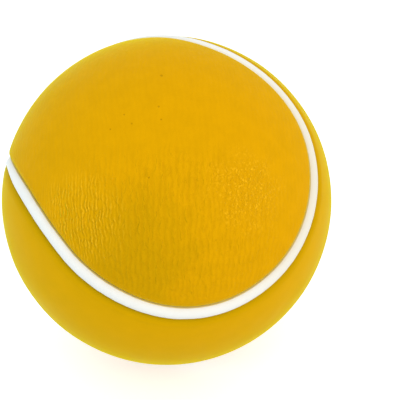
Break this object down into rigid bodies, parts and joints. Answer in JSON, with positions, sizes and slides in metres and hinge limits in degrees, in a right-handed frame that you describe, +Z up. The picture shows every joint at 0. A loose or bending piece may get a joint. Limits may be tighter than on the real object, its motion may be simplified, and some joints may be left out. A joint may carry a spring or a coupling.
{
  "type": "foam tennis ball",
  "caption": "Soft foam ball in golden yellow interlocking dog-bone skins, parted by a raised white line in the seam; for play, throwing, catching and squeezing in the hand",
  "frame": {"origin": "The centre of the ball.", "axes": "+Z is up as the ball lies on a floor, +X is to the viewer's right and +Y is away from the viewer. The seam is turned so that the view along +Y from 25 degrees above is the view in the picture. A ball is round about every axis, and Z is the one claimed."},
  "size_m": [0.063, 0.063, 0.063],
  "materials": {
    "foam": "open-cell foam",
    "skin": "semi-gloss, finely wrinkled",
    "line": "satin"
  },
  "bodies": {
    "root": {"foam_core": "foam", "skin_panel_front": "skin", "skin_panel_back": "skin", "seam_line": "line"}
  },
  "joints": []
}
